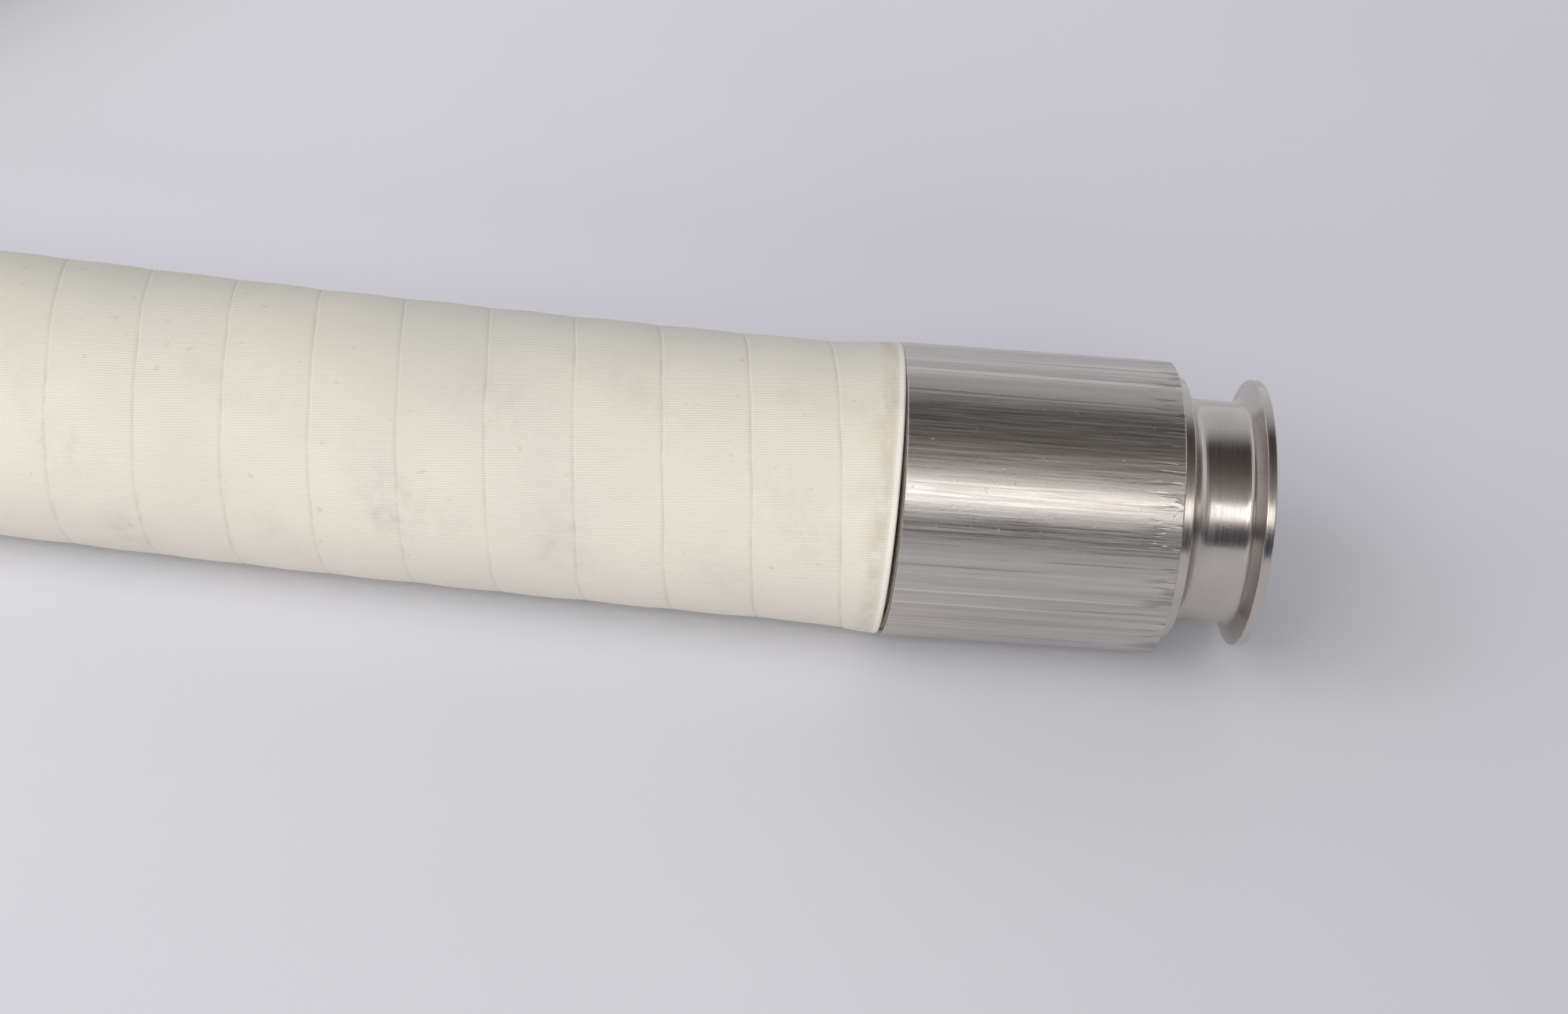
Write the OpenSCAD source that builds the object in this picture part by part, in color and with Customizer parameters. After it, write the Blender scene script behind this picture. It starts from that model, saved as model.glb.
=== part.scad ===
// Wrapped rubber hose assembly for food and drink plant: 50 mm bore, with a clamp fitting swaged on each end.
// The origin is the centre of end A's sealing face. +X points out of that mouth and +Z is up.
// The hose lies on a floor half a sleeve's diameter below the origin, and ends in one round loop.

/* [Hose] */
// Outside diameter of the hose
hose_od = 67; // [66.4:0.2:67.4]
// Inside diameter of the hose
hose_id = 51; // [50.8:0.1:51.4]
// Length of the assembly along its centreline, from sealing face to sealing face
assembly_l = 3000; // [2950:10:3010]
// Thickness of one textile ply
ply_t = 0.9; // [0.6:0.1:0.9]
// Diameter of the spring wire between the plies
wire_d = 2; // [1.4:0.2:2]
// Distance from one turn of the wire to the next
wire_pitch = 20; // [14:1:24]

/* [Clamp fitting] */
// Bore of the fitting, flush with the pipe that it joins
bore_d = 50; // [49.6:0.1:50]
// Outside diameter of the clamp flange
flange_od = 64; // [63.5:0.5:64.5]
// Outside diameter of the straight neck behind the flange
neck_od = 53; // [52:0.5:53.5]
// Outside diameter of the collar in front of the sleeve
collar_od = 63; // [62:0.5:64]
// Distance from the sealing face to the sleeve's front end
front_l = 22; // [21:0.5:26]
// Thickness of the flange at its rim
rim_t = 2.4; // [2.2:0.1:2.8]
// Slope of the flange's back, where the clamp ring wedges it
flange_slope = 20; // [18:1:22]

/* [Sleeve] */
// Outside diameter of the sleeve
sleeve_od = 70; // [70:0.5:72]
// Length of the sleeve
sleeve_l = 65; // [60:1:70]
// Number of ridges inside the sleeve
ridge_n = 5; // [3:1:5]
// Number of barbs on the tail
barb_n = 6; // [4:1:6]

/* [Loop] */
// Centreline radius of the loop's first half turn
loop_r1 = 350; // [345:5:360]
// Centreline radius of the next quarter turn
loop_r2 = 325; // [320:5:330]
// Centreline radius of the last part, which ends inside the loop
loop_r3 = 275; // [270:5:280]

/* [Hidden] */
$fn = 96;

hose_r = hose_od / 2;
hose_bore_r = hose_id / 2;
sleeve_r = sleeve_od / 2;
bore_r = bore_d / 2;
neck_r = neck_od / 2;
flange_r = flange_od / 2;
collar_r = collar_od / 2;

// Stations along the fitting, measured back from the sealing face
sleeve_front = -front_l;
sleeve_rear = sleeve_front - sleeve_l;
collar_gap = 0.4;
collar_back = sleeve_front + collar_gap;
collar_t = 2.6;
collar_front = collar_back + collar_t;
lip_t = 2.2;
shoulder_l = 3;
lip_back = sleeve_front - lip_t;
shoulder_back = lip_back - shoulder_l;
hose_front = shoulder_back - 0.5;
tail_rear = sleeve_rear + 2;

// Radii of the tail, the sleeve and the layers of the hose between them
tail_r = 26.25;
lip_r = 27.2;
groove_r = 27;
shoulder_r = 28.6;
sleeve_bore_r = 33.4;
flare_r = 33.9;
liner_r = 27.9;
wire_in_r = liner_r + ply_t;
wire_out_r = wire_in_r + 2;
cover_in_r = wire_out_r + ply_t;
wire_line_r = (wire_in_r + wire_out_r) / 2;

barb_pitch = 9;
barb_h = 0.7;
ridge_pitch = 10;
ridge_h = 0.6;

// Seal groove in the flange's face: a shallow round-bottomed ring
seal_r = 28.25;
seal_round = 2;
seal_depth = 1.5;

neck_fillet = 2;
collar_fillet = 4.5;
edge_r = 0.4;

function arc(c, r, a0, a1, n = 6) =
    [for (i = [0:n]) let (a = a0 + (a1 - a0) * i / n) c + r * [cos(a), sin(a)]];

function reversed(points) = [for (i = [len(points) - 1:-1:0]) points[i]];

// Outlines are [radius, station] pairs, turned about the fitting's axis
seal_edge = asin((seal_round - seal_depth) / seal_round);
neck_fillet_at = -rim_t
    + ((neck_r + neck_fillet - flange_r) * sin(flange_slope) - neck_fillet) / cos(flange_slope);

barbs = [for (i = [0:barb_n - 1]) let (x = hose_front - 2 - i * barb_pitch)
    each [[tail_r, x], [tail_r + barb_h, x - 0.4], [tail_r, x - 6]]];

ridges = [for (i = [0:ridge_n - 1]) let (x = hose_front - 6 - i * ridge_pitch)
    each [[sleeve_bore_r, x + 1.5], [sleeve_bore_r - ridge_h, x], [sleeve_bore_r, x - 1.5]]];

flange_outline = concat(
    arc([seal_r, seal_round - seal_depth], seal_round, 180 + seal_edge, 360 - seal_edge, 10),
    arc([flange_r - edge_r, -edge_r], edge_r, 90, 0),
    arc([flange_r - edge_r, edge_r - rim_t], edge_r, 0, flange_slope - 90),
    arc([neck_r + neck_fillet, neck_fillet_at], neck_fillet, 90 + flange_slope, 180)
);

collar_outline = concat(
    arc([neck_r + collar_fillet, collar_front + collar_fillet], collar_fillet, 180, 270, 12),
    arc([collar_r - edge_r, collar_front - edge_r], edge_r, 90, 0),
    [[collar_r, collar_back + 0.2], [collar_r - 0.2, collar_back]]
);

// The exposed hose: points along the free stretch, then the loop's three arcs
run_points = [
    [-87, 0, 0], [-107, 0.7, 0], [-147, 3, -0.5], [-187, 6, -1], [-227, 9.2, -1.5], [-267, 12.5, -1.5],
    [-307, 16, -1.5], [-347, 19.5, -1.5], [-387, 22.5, -1.5], [-427, 25, -1.5], [-467, 27, -1.5],
    [-507, 28, -1.5], [-547, 28, -1.5], [-587, 27, -1.5], [-627, 25, -1.5], [-646, 24, -1.5]
];
coil_heading = 183;
end_run_l = 50;
run_sides = 12;
lie_z = run_points[len(run_points) - 1].z;

function run_length(points, i = 1) =
    i == len(points) ? 0 : norm(points[i] - points[i - 1]) + run_length(points, i + 1);

function heading_dir(a) = [cos(a), sin(a), 0];

// The loop turns clockwise, so each arc's centre is on the right of its heading
coil_start = run_points[len(run_points) - 1];
exposed_l = assembly_l - 2 * (front_l + sleeve_l);
last_arc_l = exposed_l - run_length(run_points) - PI * loop_r1 - PI * loop_r2 / 2 - end_run_l;
loop_radii = [loop_r1, loop_r2, loop_r3];
loop_turns = [180, 90, last_arc_l / loop_r3 * 180 / PI];

function loop_heading(i) = i == 0 ? coil_heading : loop_heading(i - 1) - loop_turns[i - 1];

function loop_centre(i) = loop_point(i) + loop_radii[i] * heading_dir(loop_heading(i) - 90);

function loop_point(i) =
    i == 0 ? coil_start : loop_centre(i - 1) - loop_radii[i - 1] * heading_dir(loop_heading(i) - 90);

end_heading = loop_heading(3);
end_start = loop_point(3);
end_points = [
    end_start,
    end_start + end_run_l * 0.4 * heading_dir(end_heading) + [0, 0, 0.5],
    [end_start.x, end_start.y, 0] + end_run_l * 0.8 * heading_dir(end_heading),
    [end_start.x, end_start.y, 0] + end_run_l * heading_dir(end_heading)
];
face_b = end_points[3] + (front_l + sleeve_l) * heading_dir(end_heading);

module end_a() {
    rotate([0, 90, 0]) children();
}

module end_b() {
    translate(face_b) rotate([0, 0, end_heading]) rotate([0, 90, 0]) children();
}

// Hollow tube swept along a route: the outer skin's rings, then the bore's
module hollow_tube(points, first_dir, last_dir) {
    rings = len(points);
    dirs = [for (i = [0:rings - 1])
        i == 0 ? first_dir : i == rings - 1 ? last_dir : points[i + 1] - points[i - 1]];
    sides = [for (d = dirs) let (f = norm([d.x, d.y])) [d.y / f, -d.x / f, 0]];
    step = 360 / run_sides;
    skin = [for (r = [hose_r, hose_bore_r]) for (i = [0:rings - 1]) for (k = [0:run_sides - 1])
        points[i] + r * (cos(k * step) * sides[i] + sin(k * step) * [0, 0, 1])];
    bore_from = rings * run_sides;
    walls = [for (s = [0, 1]) for (i = [0:rings - 2]) for (k = [0:run_sides - 1])
        let (a = s * bore_from + i * run_sides, j = (k + 1) % run_sides,
            wall = [a + k, a + j, a + j + run_sides, a + k + run_sides])
        s == 0 ? reversed(wall) : wall];
    ends = [for (e = [0, 1]) for (k = [0:run_sides - 1])
        let (a = e * (rings - 1) * run_sides, j = (k + 1) % run_sides,
            ring = [a + k, a + j, bore_from + a + j, bore_from + a + k])
        e == 0 ? reversed(ring) : ring];
    polyhedron(points = skin, faces = concat(walls, [for (f = ends) reversed(f)]), convexity = 6);
}

module clamp_end() {
    color("#d7dadb") rotate_extrude() polygon(concat(
        [[bore_r, tail_rear], [bore_r, 0]],
        flange_outline,
        collar_outline,
        [[groove_r, collar_back], [groove_r, lip_back - 0.1], [shoulder_r, lip_back - 0.1]],
        [[shoulder_r, shoulder_back], [tail_r, shoulder_back]],
        barbs,
        [[tail_r, tail_rear + 2], [tail_r - 0.7, tail_rear]]
    ));
}

module sleeve() {
    color("#c3c7c9") rotate_extrude() polygon(concat(
        [[lip_r, lip_back], [lip_r, sleeve_front]],
        arc([sleeve_r - edge_r, sleeve_front - edge_r], edge_r, 90, 0),
        arc([sleeve_r - edge_r, sleeve_rear + edge_r], edge_r, 0, -90),
        [[flare_r, sleeve_rear], [sleeve_bore_r, sleeve_rear + 2]],
        reversed(ridges),
        [[sleeve_bore_r, lip_back]]
    ));
}

module liner() {
    color("#efe9da") rotate_extrude() polygon(concat(
        [[tail_r, hose_front]],
        barbs,
        [[tail_r, tail_rear + 2], [tail_r - 0.7, tail_rear], [hose_bore_r, sleeve_rear]],
        [[liner_r, sleeve_rear], [liner_r, hose_front]]
    ));
}

module layer(r_in, r_out) {
    rotate_extrude() polygon(
        [[r_in, sleeve_rear], [r_out, sleeve_rear], [r_out, hose_front], [r_in, hose_front]]
    );
}

module inner_ply() {
    color("#d8cfb8") layer(liner_r, wire_in_r);
}

module outer_ply() {
    color("#d8cfb8") layer(wire_out_r, cover_in_r);
}

module cover() {
    color("#e9e2d2") rotate_extrude() polygon(concat(
        [[cover_in_r, hose_front], [cover_in_r, sleeve_rear], [hose_r, sleeve_rear]],
        [[sleeve_bore_r, sleeve_rear + 2]],
        reversed(ridges),
        [[sleeve_bore_r, hose_front]]
    ));
}

// Right-handed coil of round wire, caught between the two plies
module helix_wire() {
    start = sleeve_rear + wire_d / 2;
    turns = (hose_front - sleeve_rear - wire_d) / wire_pitch;
    ring_turn = 18;
    wire_sides = 8;
    rings = floor(turns * 360 / ring_turn);
    points = [for (i = [0:rings]) let (a = i * ring_turn) for (k = [0:wire_sides - 1])
        let (t = k * 360 / wire_sides, r = wire_line_r + wire_d / 2 * cos(t))
        [r * cos(a), r * sin(a), start + a / 360 * wire_pitch + wire_d / 2 * sin(t)]];
    walls = [for (i = [0:rings - 1]) for (k = [0:wire_sides - 1])
        let (a = i * wire_sides, j = (k + 1) % wire_sides)
        [a + k, a + k + wire_sides, a + j + wire_sides, a + j]];
    first_cap = [for (k = [0:wire_sides - 1]) k];
    last_cap = [for (k = [wire_sides - 1:-1:0]) rings * wire_sides + k];
    color("#8f9498") polyhedron(points = points, faces = concat(walls, [first_cap, last_cap]));
}

module hose_run() {
    color("#e9e2d2") hollow_tube(run_points, heading_dir(180), heading_dir(coil_heading));
}

module hose_coil() {
    color("#e9e2d2") for (i = [0:2])
        translate(loop_centre(i)) rotate(loop_heading(i) + 90 - loop_turns[i])
            rotate_extrude(angle = loop_turns[i]) translate([loop_radii[i], 0]) difference() {
                circle(hose_r);
                circle(hose_bore_r);
            }
}

module hose_end_run() {
    color("#e9e2d2") hollow_tube(end_points, heading_dir(end_heading), heading_dir(end_heading));
}

end_a() clamp_end();  // clamp_end_a
end_a() sleeve();  // sleeve_a
end_a() liner();  // liner_a
end_a() inner_ply();  // inner_ply_a
end_a() helix_wire();  // helix_wire_a
end_a() outer_ply();  // outer_ply_a
end_a() cover();  // cover_a
hose_run();
hose_coil();
hose_end_run();
end_b() clamp_end();  // clamp_end_b
end_b() sleeve();  // sleeve_b
end_b() liner();  // liner_b
end_b() inner_ply();  // inner_ply_b
end_b() helix_wire();  // helix_wire_b
end_b() outer_ply();  // outer_ply_b
end_b() cover();  // cover_b
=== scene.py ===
"""Wrapped rubber hose with hygienic clamp ends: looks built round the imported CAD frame, in metres."""
import math

import bmesh
import bpy
import numpy as np
from mathutils import Matrix, Vector


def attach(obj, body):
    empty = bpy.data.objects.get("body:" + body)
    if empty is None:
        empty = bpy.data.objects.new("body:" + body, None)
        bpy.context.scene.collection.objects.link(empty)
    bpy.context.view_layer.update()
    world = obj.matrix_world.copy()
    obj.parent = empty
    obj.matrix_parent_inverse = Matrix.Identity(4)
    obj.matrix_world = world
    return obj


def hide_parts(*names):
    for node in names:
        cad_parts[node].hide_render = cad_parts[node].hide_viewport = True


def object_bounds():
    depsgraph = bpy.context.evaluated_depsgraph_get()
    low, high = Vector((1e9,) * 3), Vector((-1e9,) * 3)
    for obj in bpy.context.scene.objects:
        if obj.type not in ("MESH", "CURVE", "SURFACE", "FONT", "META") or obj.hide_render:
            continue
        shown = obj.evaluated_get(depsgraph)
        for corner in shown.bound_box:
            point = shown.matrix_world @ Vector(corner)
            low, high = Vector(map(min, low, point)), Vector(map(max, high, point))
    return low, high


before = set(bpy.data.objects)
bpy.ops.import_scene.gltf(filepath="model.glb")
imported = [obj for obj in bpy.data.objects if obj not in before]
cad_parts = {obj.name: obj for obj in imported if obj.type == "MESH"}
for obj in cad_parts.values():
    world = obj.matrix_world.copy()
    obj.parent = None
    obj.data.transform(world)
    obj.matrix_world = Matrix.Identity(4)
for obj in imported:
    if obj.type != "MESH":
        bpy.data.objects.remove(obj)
cad_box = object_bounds()

MM = 0.001
HOSE_R = 33.5 * MM
BORE_R = 25.5 * MM
FITTING_L = 0.087
SLEEVE_FRONT = -22 * MM
FLOOR_Z = cad_box[0][2]


# ---------------------------------------------------------------- camera
def add_camera():
    """The photograph's view: from the front, above, turned a little and rolled."""
    azimuth, elevation, roll = math.radians(-5.2), math.radians(37), math.radians(7.1)
    distance = 0.803
    back = Vector((
        math.sin(azimuth) * math.cos(elevation),
        -math.cos(azimuth) * math.cos(elevation),
        math.sin(elevation),
    ))
    level = Vector((math.cos(azimuth), math.sin(azimuth), 0))
    rise = back.cross(level)
    right = math.cos(roll) * level + math.sin(roll) * rise
    up = math.cos(roll) * rise - math.sin(roll) * level
    aim = Vector((-0.1122, 0, 0)) - 0.00625 * up
    data = bpy.data.cameras.new("camera")
    data.lens = 77.4
    data.sensor_width = 36
    data.clip_start = 0.01
    data.clip_end = 100
    camera = bpy.data.objects.new("camera", data)
    turn = Matrix((right, up, back)).transposed().to_4x4()
    camera.matrix_world = Matrix.Translation(aim + distance * back) @ turn
    bpy.context.scene.collection.objects.link(camera)
    bpy.context.scene.camera = camera


# ---------------------------------------------------------------- route
RUN_POINTS = [
    (-0.087, 0, 0), (-0.107, 0.0007, 0), (-0.147, 0.003, -0.0005), (-0.187, 0.006, -0.001),
    (-0.227, 0.0092, -0.0015), (-0.267, 0.0125, -0.0015), (-0.307, 0.016, -0.0015),
    (-0.347, 0.0195, -0.0015), (-0.387, 0.0225, -0.0015), (-0.427, 0.025, -0.0015),
    (-0.467, 0.027, -0.0015), (-0.507, 0.028, -0.0015), (-0.547, 0.028, -0.0015),
    (-0.587, 0.027, -0.0015), (-0.627, 0.025, -0.0015), (-0.646, 0.024, -0.0015),
]
COIL_HEADING = 183
LOOP_ARCS = [(0.350, 180.0), (0.325, 90.0)]
LAST_ARC_R = 0.275
END_RUN = 0.05
ASSEMBLY_L = 3.0
EXPOSED = ASSEMBLY_L - 2 * FITTING_L


def heading_dir(degrees):
    """Level unit vector at an angle from +X."""
    a = math.radians(degrees)
    return np.array([math.cos(a), math.sin(a), 0.0])


def hose_route():
    """Centreline from sleeve to sleeve, the far sleeve's rear and the far end's heading."""
    points = [np.array(p, float) for p in RUN_POINTS]
    run = sum(np.linalg.norm(b - a) for a, b in zip(points, points[1:]))
    left = EXPOSED - run - END_RUN - sum(r * math.radians(t) for r, t in LOOP_ARCS)
    heading = COIL_HEADING
    for radius, turn in LOOP_ARCS + [(LAST_ARC_R, math.degrees(left / LAST_ARC_R))]:
        centre = points[-1] + radius * heading_dir(heading - 90)
        steps = int(turn / 3)
        for i in range(1, steps + 1):
            points.append(centre - radius * heading_dir(heading - turn * i / steps - 90))
        heading -= turn
    forward = heading_dir(heading)
    start = points[-1]
    rest = np.array([start[0], start[1], 0.0])
    points.append(start + 0.4 * END_RUN * forward + np.array([0, 0, 0.5 * MM]))
    points.append(rest + 0.8 * END_RUN * forward)
    points.append(rest + END_RUN * forward)
    return np.array(points), points[-1], heading


def smooth_line(points, step=0.002, reach=0.03):
    """Evenly spaced points along the route, with its corners eased over the reach."""
    gaps = np.linalg.norm(np.diff(points, axis=0), axis=1)
    along = np.concatenate([[0], np.cumsum(gaps)])
    count = int(along[-1] / step) + 1
    s = np.linspace(0, along[-1], count)
    line = np.stack([np.interp(s, along, points[:, k]) for k in range(3)], 1)
    half = int(reach / step)
    before = line[0] + (line[0] - line[1:half + 1][::-1])
    after = line[-1] + (line[-1] - line[-half - 1:-1][::-1])
    padded = np.concatenate([before, line, after])
    kernel = np.hanning(2 * half + 3)[1:-1]
    kernel /= kernel.sum()
    eased = np.stack([np.convolve(padded[:, k], kernel, "valid") for k in range(3)], 1)
    gaps = np.linalg.norm(np.diff(eased, axis=0), axis=1)
    return eased, np.concatenate([[0], np.cumsum(gaps)])


ROUTE, END_B, HEADING_B = hose_route()
LINE, ALONG = smooth_line(ROUTE)
LENGTH = float(ALONG[-1])
FACE_B = END_B + FITTING_L * heading_dir(HEADING_B)


def hose_frames(s):
    """Point, side and upward directions of the centreline at each distance s."""
    centre = np.stack([np.interp(s, ALONG, LINE[:, k]) for k in range(3)], -1)
    ahead = np.stack([np.interp(s + 3 * MM, ALONG, LINE[:, k]) for k in range(3)], -1)
    behind = np.stack([np.interp(s - 3 * MM, ALONG, LINE[:, k]) for k in range(3)], -1)
    tangent = ahead - behind
    tangent /= np.linalg.norm(tangent, axis=-1, keepdims=True)
    side = np.cross([0.0, 0.0, 1.0], tangent)
    side /= np.linalg.norm(side, axis=-1, keepdims=True)
    return centre, side, np.cross(tangent, side)


# ---------------------------------------------------------------- hose
PITCH = 20.2 * MM
AROUND = 80
CUFF = 3 * MM
MID_LAP = 10.1 * MM
BORE_STEP = 12 * MM
FULL_TURN = np.arange(AROUND + 1) * 2 * math.pi / AROUND
COVER, LINER = 0, 1
# The lap line starts out this far from the sleeve, after laps that the cuff cuts off
FIRST_LAP = 13 * MM - PITCH * 37 / 360
EARLY_LAPS = 2
# Rows of the strip past its lap line, close together at the groove and the lip
LAP_STATIONS = np.array([0, 0.12, 0.3, 0.6, 1.2, 3.0, 6.0, 10.1, 14.0, 17.0, 18.8, 19.6, 20.02]) * MM


def wander(a, b, seed):
    """Smooth, repeatable unevenness between about -1 and 1."""
    return (
        np.sin(1.7 * a + 2.3 * b + seed)
        + np.sin(3.1 * a - 1.3 * b + 2.1 * seed)
        + np.sin(0.7 * a + 4.9 * b + 3.7 * seed)
    ) / 3


def lap_profile(t):
    """Height of the cover at t past the lap line: a groove, a swell, and the lip of the next lap."""
    groove = -0.11 * MM * np.exp(-((t - 0.18 * MM) / (0.20 * MM)) ** 2)
    lip = 0.12 * MM * np.exp(-(PITCH - t) / (0.6 * MM))
    swell = 0.26 * MM * np.sin(np.pi * t / PITCH)
    return groove + lip + swell - 0.06 * MM


def cuff_profile(s):
    """The hose flares to nearly the sleeve's size beside it, with its very edge turned in."""
    near = np.minimum(s, LENGTH - s)
    flare = 1.3 * MM * np.exp(-((near / (10 * MM)) ** 2))
    mouth = -0.35 * MM * np.exp(-near / (0.2 * MM))
    return flare + mouth


def cover_radius(theta, s, t):
    """Radius of the cover; both edges of a lap follow the lap line they share."""
    passed = t / PITCH
    here = wander(theta, s / PITCH, 1.3)
    next_turn = wander(theta + 2 * math.pi, s / PITCH, 1.3)
    uneven = 0.09 * MM * ((1 - passed) * here + passed * next_turn)
    past_cuff = np.maximum(np.minimum(s, LENGTH - s) - CUFF, 0)
    fade = 1 - np.exp(-past_cuff / (1.5 * MM))
    return HOSE_R + fade * (lap_profile(t % PITCH) + uneven) + cuff_profile(s)


def on_hose(theta, s, radius):
    """Points at an angle round the hose, a distance along it and a radius."""
    centre, side, up = hose_frames(s)
    r = radius[..., None]
    return centre + r * (np.cos(theta)[..., None] * side + np.sin(theta)[..., None] * up)


def grid_faces(rows, columns):
    """Quads of a rows x columns grid of vertices."""
    i, j = np.meshgrid(np.arange(rows - 1), np.arange(columns - 1), indexing="ij")
    a = i * columns + j
    return np.stack([a, a + columns, a + columns + 1, a + 1], -1).reshape(-1, 4)


def lap_shift(theta):
    """How far the lap line wanders along the hose."""
    return 0.25 * MM * wander(3 * theta, 0, 0.4)


def lap_grid():
    """The cover as one strip wound along the helical lap line, cut square at the cuffs."""
    laps = int(LENGTH / PITCH) + EARLY_LAPS + 1
    steps = laps * AROUND
    turn = np.arange(steps + 1) * 2 * math.pi / AROUND
    theta, t = np.meshgrid(turn, np.append(LAP_STATIONS, PITCH), indexing="ij")
    lap = theta / (2 * math.pi)
    near, far = lap_shift(theta), lap_shift(theta + 2 * math.pi)
    s = FIRST_LAP + (lap - EARLY_LAPS) * PITCH + t + near + (far - near) * t / PITCH
    s = np.clip(s, CUFF, LENGTH - CUFF)
    radius = cover_radius(theta, s, t)
    return theta, s, radius


def cuff_grid(from_sleeve):
    """Rings from a sleeve's mouth to where the wound strip begins."""
    rings = np.array([0, 0.15, 0.35, 0.6, 0.9, 1.4, 2.1, 3.0]) * MM
    s_line = rings if from_sleeve else LENGTH - rings[::-1]
    s, theta = np.meshgrid(s_line, FULL_TURN, indexing="ij")
    radius = cover_radius(theta, s, np.full_like(s, MID_LAP))
    return theta, s, radius


def bore_grid():
    """The inside of the tube."""
    s, theta = np.meshgrid(np.linspace(0, LENGTH, int(LENGTH / BORE_STEP)), FULL_TURN, indexing="ij")
    return theta, s, np.full_like(s, BORE_R)


def end_grid(end):
    """The cut face of the hose, from the cover's edge to the bore."""
    ends = [BORE_R, HOSE_R] if end else [HOSE_R, BORE_R]
    radius, theta = np.meshgrid(ends, FULL_TURN, indexing="ij")
    s = np.full_like(theta, end)
    outside = cover_radius(theta, s, np.full_like(s, MID_LAP))
    return theta, s, np.where(radius > BORE_R, outside, radius)


def hose_surface():
    """Vertices, quads, lay coordinates and material slots of all the hose's grids together."""
    grids = [(lap_grid(), COVER, False)]
    grids += [(cuff_grid(first), COVER, True) for first in (True, False)]
    grids += [(bore_grid(), LINER, True)]
    grids += [(end_grid(end), LINER, True) for end in (0.0, LENGTH)]
    verts, faces, uvs, slots, base = [], [], [], [], 0
    for (theta, s, radius), slot, flip in grids:
        quads = grid_faces(*theta.shape)
        flat_s = s.reshape(-1)
        corner_s = flat_s[quads]
        if flip:
            quads = quads[:, ::-1]
        else:
            keep = (corner_s.max(1) > CUFF) & (corner_s.min(1) < LENGTH - CUFF)
            quads = quads[keep]
        verts.append(on_hose(theta, s, radius).reshape(-1, 3))
        uv = np.stack([theta.reshape(-1) / (2 * math.pi), flat_s], -1)
        uvs.append(uv[quads].reshape(-1, 2))
        faces.append(quads + base)
        slots.append(np.full(len(quads), slot))
        base += len(flat_s)
    return tuple(np.concatenate(rows) for rows in (verts, faces, uvs, slots))


def build_hose():
    """The hose as one closed mesh: wound cover, cuffs, bore and cut ends."""
    verts, faces, uvs, slots = hose_surface()
    mesh = bpy.data.meshes.new("hose")
    mesh.vertices.add(len(verts))
    mesh.vertices.foreach_set("co", verts.reshape(-1))
    mesh.loops.add(faces.size)
    mesh.loops.foreach_set("vertex_index", faces.reshape(-1))
    mesh.polygons.add(len(faces))
    mesh.polygons.foreach_set("loop_start", np.arange(len(faces)) * 4)
    mesh.polygons.foreach_set("material_index", slots.astype(np.int32))
    mesh.polygons.foreach_set("use_smooth", np.ones(len(faces), bool))
    layer = mesh.uv_layers.new(name="lay")
    layer.data.foreach_set("uv", uvs.reshape(-1))
    mesh.update()
    mesh.validate()
    work = bmesh.new()
    work.from_mesh(mesh)
    bmesh.ops.remove_doubles(work, verts=work.verts, dist=0.004 * MM)
    bmesh.ops.recalc_face_normals(work, faces=work.faces)
    work.to_mesh(mesh)
    work.free()
    hose = bpy.data.objects.new("hose", mesh)
    bpy.context.scene.collection.objects.link(hose)
    return hose


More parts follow.
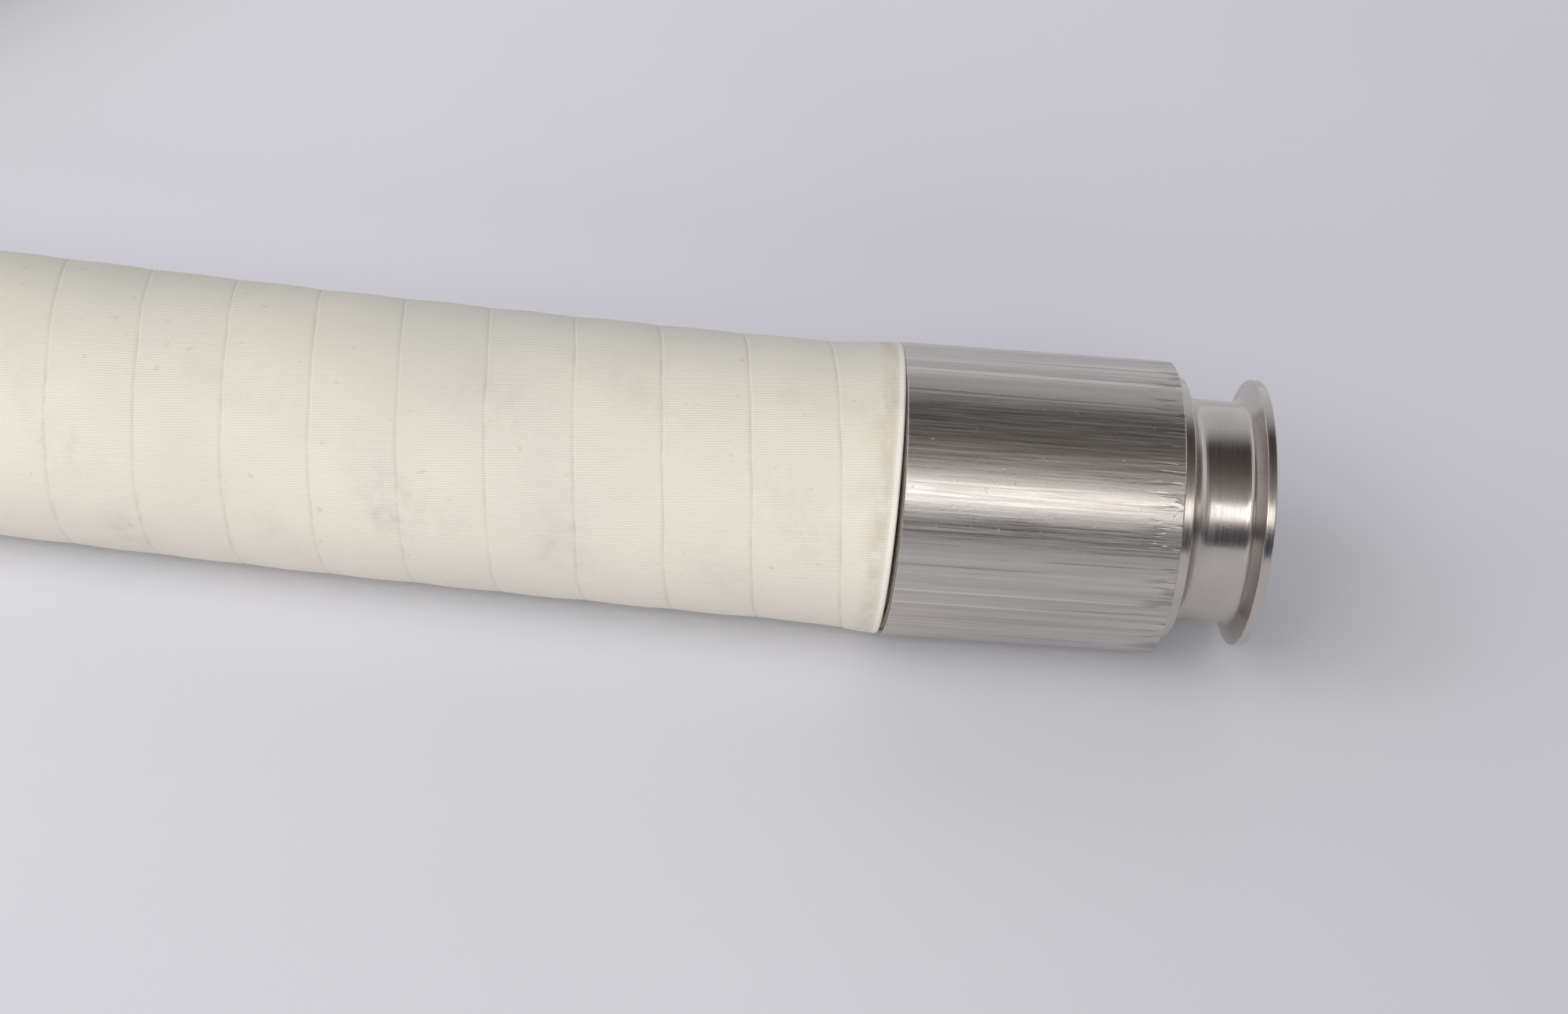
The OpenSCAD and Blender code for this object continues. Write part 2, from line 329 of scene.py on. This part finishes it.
# ---------------------------------------------------------------- node helpers
class Nodes:
    """Short calls for building the node tree of a material, or of the world."""

    def __init__(self, name, world=False):
        self.owner = (bpy.data.worlds if world else bpy.data.materials).new(name)
        self.owner.use_nodes = True
        self.tree = self.owner.node_tree
        self.shader = self.tree.nodes["Background" if world else "Principled BSDF"]

    def add(self, kind, **values):
        node = self.tree.nodes.new(kind)
        for key, value in values.items():
            setattr(node, key, value)
        return node

    def link(self, source, target):
        self.tree.links.new(source, target)

    def put(self, socket, value):
        if isinstance(value, (int, float, tuple)):
            socket.default_value = value
        else:
            self.link(value, socket)

    def math(self, operation, a, b=0.0, clamp=False):
        node = self.add("ShaderNodeMath", operation=operation, use_clamp=clamp)
        self.put(node.inputs[0], a)
        self.put(node.inputs[1], b)
        return node.outputs[0]

    def mapped(self, vector, scale=(1, 1, 1), turn=(0, 0, 0), shift=(0, 0, 0)):
        node = self.add("ShaderNodeMapping")
        self.put(node.inputs["Vector"], vector)
        node.inputs["Scale"].default_value = scale
        node.inputs["Rotation"].default_value = turn
        node.inputs["Location"].default_value = shift
        return node.outputs[0]

    def noise(self, vector, detail=3.0, rough=0.5):
        node = self.add("ShaderNodeTexNoise")
        self.put(node.inputs["Vector"], vector)
        node.inputs["Scale"].default_value = 1.0
        node.inputs["Detail"].default_value = detail
        node.inputs["Roughness"].default_value = rough
        return node.outputs[0]

    def ramp(self, value, low, high, to_low=0.0, to_high=1.0):
        node = self.add("ShaderNodeMapRange", interpolation_type="SMOOTHSTEP")
        self.put(node.inputs["Value"], value)
        node.inputs["From Min"].default_value = low
        node.inputs["From Max"].default_value = high
        node.inputs["To Min"].default_value = to_low
        node.inputs["To Max"].default_value = to_high
        return node.outputs[0]

    def mix(self, factor, a, b, blend="MIX"):
        node = self.add("ShaderNodeMix", data_type="RGBA", blend_type=blend)
        self.put(node.inputs["Factor"], factor)
        self.put(node.inputs["A"], a)
        self.put(node.inputs["B"], b)
        return node.outputs["Result"]

    def split(self, vector):
        node = self.add("ShaderNodeSeparateXYZ")
        self.link(vector, node.inputs[0])
        return node.outputs

    def attribute(self, name):
        return self.add("ShaderNodeAttribute", attribute_name=name).outputs["Fac"]

    def bump(self, height, distance, strength):
        node = self.add("ShaderNodeBump")
        node.inputs["Strength"].default_value = strength
        node.inputs["Distance"].default_value = distance
        self.put(node.inputs["Height"], height)
        return node.outputs[0]

    def place(self):
        return self.add("ShaderNodeTexCoord").outputs["Object"]

    def finish(self, color=None, rough=None, normal=None):
        if color is not None:
            self.put(self.shader.inputs["Base Color"], color)
        if rough is not None:
            self.put(self.shader.inputs["Roughness"], rough)
        if normal is not None:
            self.link(normal, self.shader.inputs["Normal"])
        return self.owner


# ---------------------------------------------------------------- materials
CREAM = (0.665, 0.636, 0.553, 1)
DULL_CREAM = (0.61, 0.59, 0.523, 1)
RIBS = 345
RIB_SLANT = math.radians(5.5)


def plain_rubber(n, place, mottle):
    """Colour and height of cream rubber: clouded, grainy and lightly specked."""
    fine = n.noise(n.mapped(place, (900, 900, 900)), detail=2)
    base = n.mix(n.ramp(mottle, 0.40, 0.70), CREAM, DULL_CREAM)
    speck = n.ramp(n.noise(n.mapped(place, (430, 430, 430)), detail=1), 0.72, 0.80)
    base = n.mix(n.math("MULTIPLY", speck, 0.35), base, (0.42, 0.36, 0.30, 1))
    return base, n.math("MULTIPLY", fine, 0.25)


def cloth_ribs(n, place, lay):
    """The print of the cloth's threads, which run along the hose with a slight slant."""
    slant = math.tan(RIB_SLANT) / (2 * math.pi * HOSE_R)
    around = n.math("ADD", lay[0], n.math("MULTIPLY", lay[1], slant))
    jitter = n.math("MULTIPLY", n.noise(n.mapped(place, (60, 60, 60)), detail=2), 0.0030)
    phase = n.math("MULTIPLY", n.math("ADD", around, jitter), 2 * math.pi * RIBS)
    rib = n.math("MULTIPLY_ADD", n.math("SINE", phase), 0.5)
    rib.node.inputs[2].default_value = 0.5
    depth = n.ramp(n.noise(n.mapped(place, (22, 22, 22)), detail=2), 0.32, 0.60, 0.45, 1.0)
    return n.math("MULTIPLY", rib, depth)


def wear_and_lap_shade(n, place, base, along):
    """Grime, stains, painted shade in the lap line's groove, and the rubbed and the pale band by a sleeve.
    """
    streak = n.noise(n.mapped(place, (260, 90, 260), turn=(0.3, 0.5, 0.6)), detail=3, rough=0.65)
    grime = n.math("MULTIPLY", n.attribute("grime"), n.ramp(streak, 0.22, 0.78, 0.0, 0.8), clamp=True)
    base = n.mix(grime, base, (0.40, 0.375, 0.345, 1))
    patchy = n.ramp(n.noise(n.mapped(place, (120, 120, 120)), detail=3), 0.35, 0.7)
    stain = n.math("MULTIPLY", n.attribute("stain"), patchy, clamp=True)
    base = n.mix(stain, base, (0.52, 0.40, 0.27, 1))
    # Painted shade: the thin groove along the lap line is darkened as if in shadow.
    lap_groove_shade = n.math("MULTIPLY", n.attribute("lap_groove_shade"), n.ramp(streak, 0.3, 0.7, 0.03, 0.30))
    base = n.mix(lap_groove_shade, base, (0.40, 0.35, 0.28, 1))
    near = n.math("MINIMUM", along, n.math("SUBTRACT", LENGTH, along))
    rubbed = n.math("MULTIPLY", n.ramp(near, 1.6 * MM, 2.6 * MM), n.ramp(near, 4 * MM, 7 * MM, 1, 0))
    rubbed = n.math("MULTIPLY", rubbed, n.ramp(streak, 0.35, 0.65, 0.06, 0.40))
    base = n.mix(rubbed, base, (0.50, 0.43, 0.34, 1))
    pale = n.math("MULTIPLY", n.ramp(near, 0.3 * MM, 0.5 * MM), n.ramp(near, 1.3 * MM, 1.7 * MM, 1, 0))
    return n.mix(n.math("MULTIPLY", pale, 0.45), base, (0.93, 0.90, 0.84, 1))


def cover_rubber(name, wound):
    """Cream rubber; the wound cover adds the print of the wrapping cloth, with painted highlight on its
    crests, its wear, and painted shade in the lap line.
    """
    n = Nodes(name)
    place = n.place()
    mottle = n.noise(n.mapped(place, (14, 14, 14)), detail=4, rough=0.55)
    base, height = plain_rubber(n, place, mottle)
    if wound:
        lay = n.split(n.add("ShaderNodeUVMap", uv_map="lay").outputs[0])
        rib = cloth_ribs(n, place, lay)
        # Painted highlight: the crests of the cloth print are painted lighter.
        base = n.mix(n.math("MULTIPLY", rib, 0.26), base, (1.0, 0.985, 0.93, 1))
        base = wear_and_lap_shade(n, place, base, lay[1])
        height = n.math("ADD", height, rib)
    n.shader.inputs["Specular IOR Level"].default_value = 0.28
    n.shader.inputs["Sheen Weight"].default_value = 0.10
    n.shader.inputs["Sheen Roughness"].default_value = 0.5
    rough = n.ramp(mottle, 0.3, 0.7, 0.62, 0.78)
    return n.finish(base, rough, n.bump(height, 0.08 * MM, 0.7))


def liner_rubber(name):
    """Smooth pale tube rubber with faint mandrel marks."""
    n = Nodes(name)
    place = n.place()
    cloud = n.ramp(n.noise(n.mapped(place, (25, 25, 25)), detail=3), 0.35, 0.7)
    color = n.mix(cloud, (0.80, 0.76, 0.67, 1), (0.73, 0.69, 0.60, 1))
    marks = n.noise(n.mapped(place, (30, 700, 700)), detail=2)
    return n.finish(color, n.ramp(cloud, 0, 1, 0.38, 0.5), n.bump(marks, 0.02 * MM, 0.4))


def textile(name, offset, turn):
    """Rubber-coated cord fabric: two crossing sets of threads."""
    n = Nodes(name)
    local = n.mapped(n.place(), turn=(0, 0, -turn), shift=offset)
    waves = []
    for slope in (1, -1):
        wave = n.add("ShaderNodeTexWave", bands_direction="DIAGONAL")
        n.link(n.mapped(local, (700, 700 * slope, 700)), wave.inputs["Vector"])
        wave.inputs["Scale"].default_value = 1.0
        wave.inputs["Distortion"].default_value = 0.4
        waves.append(wave.outputs["Fac"])
    weave = n.math("MAXIMUM", *waves)
    color = n.mix(weave, (0.44, 0.40, 0.32, 1), (0.70, 0.65, 0.54, 1))
    return n.finish(color, n.ramp(weave, 0, 1, 0.9, 0.75), n.bump(weave, 0.15 * MM, 0.6))


STEEL = (0.62, 0.58, 0.54, 1)


def polished_steel(name, offset, turn):
    """Turned and polished stainless steel, with fine marks running round the axis."""
    n = Nodes(name)
    local = n.mapped(n.place(), turn=(0, 0, -turn), shift=offset)
    axes = n.split(local)
    flat = n.add("ShaderNodeCombineXYZ")
    n.link(axes[1], flat.inputs[0])
    n.link(axes[2], flat.inputs[1])
    length = n.add("ShaderNodeVectorMath", operation="LENGTH")
    n.link(flat.outputs[0], length.inputs[0])
    turned = n.add("ShaderNodeCombineXYZ")
    n.link(axes[0], turned.inputs[0])
    n.link(length.outputs["Value"], turned.inputs[1])
    rings = n.noise(n.mapped(turned.outputs[0], (5200, 5200, 1)), detail=3, rough=0.6)
    cloud = n.noise(n.mapped(local, (70, 70, 70)), detail=4, rough=0.6)
    color = n.mix(n.ramp(cloud, 0.35, 0.7), STEEL, (0.55, 0.51, 0.475, 1))
    rough = n.math("ADD", n.ramp(rings, 0.3, 0.7, 0.15, 0.26), n.ramp(cloud, 0.4, 0.75, 0, 0.07))
    pits = n.ramp(n.noise(n.mapped(local, (520, 520, 520)), detail=0), 0.80, 0.84)
    height = n.math("SUBTRACT", n.math("MULTIPLY", rings, 0.05), n.math("MULTIPLY", pits, 0.6))
    n.shader.inputs["Metallic"].default_value = 1.0
    return n.finish(color, rough, n.bump(height, 0.03 * MM, 0.5))


def satin_steel(name, offset, turn):
    """Drawn stainless tube: streaks along the axis, long scratches, nicks at the front edge."""
    n = Nodes(name)
    local = n.mapped(n.place(), turn=(0, 0, -turn), shift=offset)
    fine = n.noise(n.mapped(local, (45, 2600, 2600)), detail=3, rough=0.65)
    broad = n.noise(n.mapped(local, (9, 420, 420)), detail=4, rough=0.7)
    grain = n.noise(n.mapped(local, (1100, 1500, 1500)), detail=2, rough=0.7)
    long_cut = n.ramp(n.noise(n.mapped(local, (7, 900, 900), shift=(3.1, 0.7, 1.9)), detail=1), 0.645, 0.68)
    deep_cut = n.ramp(n.noise(n.mapped(local, (9, 620, 620), shift=(1.7, 5.2, 0.3)), detail=1), 0.67, 0.70)
    edge = n.ramp(n.split(local)[0], SLEEVE_FRONT - 11 * MM, SLEEVE_FRONT - 1 * MM)
    nick = n.noise(n.mapped(local, (70, 760, 760), shift=(0.2, 9.1, 4.4)), detail=2, rough=0.55)
    nick = n.math("MULTIPLY", n.ramp(nick, 0.53, 0.60), edge)
    pits = n.ramp(n.noise(n.mapped(local, (640, 640, 640)), detail=0), 0.80, 0.83)
    tone = n.math("ADD", n.math("MULTIPLY", broad, 0.6), n.math("MULTIPLY", fine, 0.4))
    color = n.mix(n.ramp(tone, 0.34, 0.66), (0.52, 0.485, 0.455, 1), (0.68, 0.645, 0.61, 1))
    color = n.mix(n.math("MULTIPLY", long_cut, 0.45), color, (0.86, 0.84, 0.82, 1))
    color = n.mix(n.math("MULTIPLY", deep_cut, 0.3), color, (0.20, 0.185, 0.17, 1))
    color = n.mix(n.math("MULTIPLY", nick, 0.5), color, (0.22, 0.20, 0.185, 1))
    rough = n.math("ADD", n.ramp(fine, 0.3, 0.7, 0.23, 0.38), n.math("MULTIPLY", grain, 0.06))
    height = n.math("ADD", n.math("MULTIPLY", fine, 0.6), n.math("MULTIPLY", grain, 0.9))
    height = n.math("ADD", height, n.math("MULTIPLY", broad, 0.5))
    height = n.math("SUBTRACT", height, n.math("MULTIPLY", nick, 2.6))
    height = n.math("SUBTRACT", height, n.math("MULTIPLY", deep_cut, 1.0))
    height = n.math("SUBTRACT", height, n.math("MULTIPLY", pits, 1.5))
    n.shader.inputs["Metallic"].default_value = 1.0
    return n.finish(color, rough, n.bump(height, 0.03 * MM, 0.55))


def spring_steel(name):
    """Dark drawn wire, mottled by the rubber it was moulded in."""
    n = Nodes(name)
    streak = n.noise(n.mapped(n.place(), (300, 300, 300)), detail=3)
    color = n.mix(streak, (0.25, 0.26, 0.27, 1), (0.42, 0.43, 0.44, 1))
    n.shader.inputs["Metallic"].default_value = 1.0
    return n.finish(color, n.ramp(streak, 0.3, 0.7, 0.3, 0.5), n.bump(streak, 0.02 * MM, 0.4))


def floor_paper():
    """Pale seamless paper with painted light: lighter towards the back and the left as if lit more there,
    and a faint unevenness.
    """
    n = Nodes("floor_paper")
    place = n.place()
    cloud = n.noise(n.mapped(place, (3, 3, 3)), detail=4)
    axes = n.split(place)
    # Painted light: the paper's colour runs from dark at the front right to light at the back left.
    painted_light_falloff = n.math("SUBTRACT", axes[1], n.math("MULTIPLY", axes[0], 0.5))
    painted_falloff_and_cloud = n.math("ADD", n.ramp(painted_light_falloff, -0.5, 0.6), n.ramp(cloud, 0.3, 0.7, -0.04, 0.04), clamp=True)
    color = n.mix(painted_falloff_and_cloud, (0.575, 0.58, 0.622, 1), (0.90, 0.905, 0.965, 1))
    n.shader.inputs["Specular IOR Level"].default_value = 0.2
    return n.finish(color, n.ramp(cloud, 0.3, 0.7, 0.55, 0.65))


# ---------------------------------------------------------------- wear, and painted shade in the lap line
# Scuffs: distance from the sleeve (mm), angle round (degrees), length, width (mm), slant (degrees), strength
SCUFFS = [
    (112, 14, 14, 6, 35, 0.36), (116, 4, 5, 3, 50, 0.55), (78, -2, 7, 1.6, 70, 0.55),
    (74, 8, 22, 5, 60, 0.22), (62, 66, 20, 4, 30, 0.25), (22, 22, 16, 7, 50, 0.25),
    (150, 48, 18, 5, 20, 0.22), (190, 20, 12, 6, 40, 0.25), (176, -20, 9, 4, 65, 0.4),
    (96, 60, 16, 8, 25, 0.2), (206, 55, 14, 5, 60, 0.22), (38, -8, 10, 5, 45, 0.3),
    (140, -14, 10, 4, 55, 0.3), (4, 36, 3, 16, 80, 0.3), (5, 70, 3, 12, 80, 0.35),
    (330, 60, 24, 9, 35, 0.4), (520, 110, 30, 10, 50, 0.4), (900, 20, 30, 9, 30, 0.4),
    (1300, 150, 26, 12, 60, 0.4), (1700, 80, 34, 9, 40, 0.4), (2300, 40, 28, 10, 35, 0.4),
]
# Brownish stains near the sleeves: distance, angle, length, width, strength
STAINS = [
    (26, 72, 5, 4, 0.25), (5, 62, 4, 9, 0.30), (4, 20, 3, 10, 0.30), (3, -20, 3, 8, 0.28),
    (2790, 60, 5, 9, 0.3),
]


def lay_of_vertices(mesh):
    """Turns round the hose and metres along it, for each vertex."""
    uv = np.empty(len(mesh.loops) * 2)
    mesh.uv_layers["lay"].data.foreach_get("uv", uv)
    index = np.empty(len(mesh.loops), np.int32)
    mesh.loops.foreach_get("vertex_index", index)
    lay = np.empty((len(mesh.vertices), 2))
    lay[index] = uv.reshape(-1, 2)
    return lay[:, 0], lay[:, 1]


def round_from(turns, angle):
    """Millimetres round the hose from an angle."""
    return ((turns * 360 - angle + 180) % 360 - 180) * math.radians(1) * HOSE_R / MM


def scuff_marks(turns, s):
    """Soft slanting ovals of grime."""
    grime = np.zeros(len(s))
    for at, angle, length, width, slant, strength in SCUFFS:
        ds = s / MM - at
        du = round_from(turns, angle)
        a = math.radians(slant)
        p = ds * math.cos(a) + du * math.sin(a)
        q = du * math.cos(a) - ds * math.sin(a)
        grime += strength * np.exp(-((p / length) ** 2) - (q / width) ** 2)
    return grime


def stain_marks(turns, s):
    """Soft upright ovals of stain."""
    stain = np.zeros(len(s))
    for at, angle, length, width, strength in STAINS:
        ds = s / MM - at
        du = round_from(turns, angle)
        stain += strength * np.exp(-((ds / length) ** 2) - (du / width) ** 2)
    return stain


def painted_lap_shade(turns, s):
    """Painted shade: the thin dark line in the groove just past the lap line, between the cuffs."""
    lap_line = FIRST_LAP + (turns - EARLY_LAPS) * PITCH + lap_shift(2 * math.pi * turns)
    past_lap = (s - lap_line) % PITCH
    past_lap = np.where(past_lap > PITCH / 2, past_lap - PITCH, past_lap)
    lap_groove_shade = np.exp(-(((past_lap / MM - 0.3) / 0.32) ** 2))
    return lap_groove_shade * (np.minimum(s, LENGTH - s) > CUFF)


def wear_and_shade_attributes(hose):
    """Store the wear and the painted shade of the lap line as values on the hose's vertices, for its
    material to read.
    """
    turns, s = lay_of_vertices(hose.data)
    for name, marks in (("grime", scuff_marks), ("stain", stain_marks), ("lap_groove_shade", painted_lap_shade)):
        layer = hose.data.attributes.new(name, "FLOAT", "POINT")
        layer.data.foreach_set("value", np.clip(marks(turns, s), 0, 1))


# ---------------------------------------------------------------- stage
def add_floor():
    """A wide sheet of paper under everything."""
    mesh = bpy.data.meshes.new("floor")
    reach, centre_x = 6.0, -0.4
    corners = [(-reach, -reach), (reach, -reach), (reach, reach), (-reach, reach)]
    mesh.from_pydata([(x + centre_x, y, FLOOR_Z) for x, y in corners], [], [(0, 1, 2, 3)])
    floor = bpy.data.objects.new("floor", mesh)
    bpy.context.scene.collection.objects.link(floor)
    mesh.materials.append(floor_paper())


def add_light(name, place, aim, size, power, color):
    """A rectangular soft light, turned towards its aim."""
    data = bpy.data.lights.new(name, "AREA")
    data.shape = "RECTANGLE"
    data.size, data.size_y = size
    data.energy = power
    data.color = color
    light = bpy.data.objects.new(name, data)
    light.location = place
    light.rotation_euler = (Vector(aim) - Vector(place)).to_track_quat("-Z", "Y").to_euler()
    bpy.context.scene.collection.objects.link(light)
    return light


# Colour of the studio over the hose, by degrees up from the front horizon and over to the back
STUDIO_BANDS = [
    (0, (0.05, 0.055, 0.065)), (19, (0.045, 0.05, 0.06)), (27, (0.34, 0.34, 0.35)),
    (44, (0.42, 0.41, 0.40)), (60, (0.24, 0.23, 0.22)), (78, (0.11, 0.10, 0.09)),
    (108, (0.045, 0.041, 0.038)), (130, (0.56, 0.57, 0.59)), (180, (0.70, 0.72, 0.76)),
]
# Pale screens at the hose's two ends: side and colour
WINGS = [(-1, (0.9, 0.9, 0.94, 1)), (1, (0.75, 0.75, 0.78, 1))]
BACKDROP = (0.60, 0.60, 0.63, 1)


def studio_bands(n, share):
    """Colour at a share of the half turn from the front horizon to the back one."""
    bands = n.add("ShaderNodeValToRGB")
    ramp = bands.color_ramp
    while len(ramp.elements) < len(STUDIO_BANDS):
        ramp.elements.new(0.5)
    for element, (degrees, color) in zip(ramp.elements, STUDIO_BANDS):
        element.position = degrees / 180
        element.color = (*color, 1)
    n.link(share, bands.inputs[0])
    return bands.outputs[0]


def add_world():
    """Studio round the object: bands over the hose, a pale wall behind, and a wing at each side."""
    n = Nodes("studio", world=True)
    bpy.context.scene.world = n.owner
    toward = n.split(n.add("ShaderNodeTexCoord").outputs["Generated"])
    angle = n.math("ARCTAN2", toward[2], n.math("MULTIPLY", toward[1], -1))
    surround = studio_bands(n, n.math("DIVIDE", angle, math.pi))
    raised = n.ramp(toward[2], 0.12, 0.38)
    for side, color in WINGS:
        flank = n.ramp(toward[0], 0.50 * side, 0.72 * side)
        surround = n.mix(n.math("MULTIPLY", flank, raised), surround, color)
    seen = n.add("ShaderNodeLightPath").outputs["Is Camera Ray"]
    n.link(n.mix(seen, surround, BACKDROP), n.shader.inputs["Color"])
    n.shader.inputs["Strength"].default_value = 1.0


def add_lights():
    """The key, whose band shows in the steel, and two fills that the steel doesn't show."""
    sleeve_side, hose_middle = (-0.12, 0, 0), (-0.3, 0, 0)
    reach, height = 1.7, math.radians(37.5)
    key = (-0.35, -reach * math.cos(height), reach * math.sin(height))
    add_light("key", key, sleeve_side, (1.5, 0.48), 6.9, (1.0, 0.985, 0.965))
    side = add_light("side_fill", (-1.0, -0.6, 1.0), hose_middle, (1.2, 0.9), 7.6, (1.0, 0.99, 0.98))
    low = add_light("low_fill", (-0.4, -1.7, 0.5), hose_middle, (2.0, 0.5), 12.0, (1.0, 0.98, 0.94))
    side.visible_glossy = low.visible_glossy = False


# ---------------------------------------------------------------- assembly
def dress_cad():
    """Materials for the carried-over CAD nodes, laid along each fitting's own axis."""
    turn_b = math.radians(HEADING_B)
    back = Matrix.Rotation(-turn_b, 3, "Z") @ Vector(FACE_B)
    ends = {"a": ((0, 0, 0), 0.0), "b": (tuple(-back), turn_b)}
    for end, (offset, turn) in ends.items():
        looks = {
            "clamp_end": polished_steel(f"polished_steel_{end}", offset, turn),
            "sleeve": satin_steel(f"satin_steel_{end}", offset, turn),
            "liner": liner_rubber(f"liner_rubber_{end}"),
            "inner_ply": textile(f"inner_textile_{end}", offset, turn),
            "helix_wire": spring_steel(f"spring_steel_{end}"),
            "outer_ply": textile(f"outer_textile_{end}", offset, turn),
            "cover": cover_rubber(f"cover_in_sleeve_{end}", False),
        }
        for part, material in looks.items():
            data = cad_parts[f"{part}_{end}"].data
            data.materials.clear()
            data.materials.append(material)


add_camera()
hose = build_hose()
wear_and_shade_attributes(hose)
hose.data.materials.append(cover_rubber("cover_rubber", True))
hose.data.materials.append(liner_rubber("liner_rubber"))
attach(hose, "root")
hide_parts("hose_run", "hose_coil", "hose_end_run")
dress_cad()
add_floor()
add_world()
add_lights()
bpy.context.scene.view_settings.view_transform = "Standard"
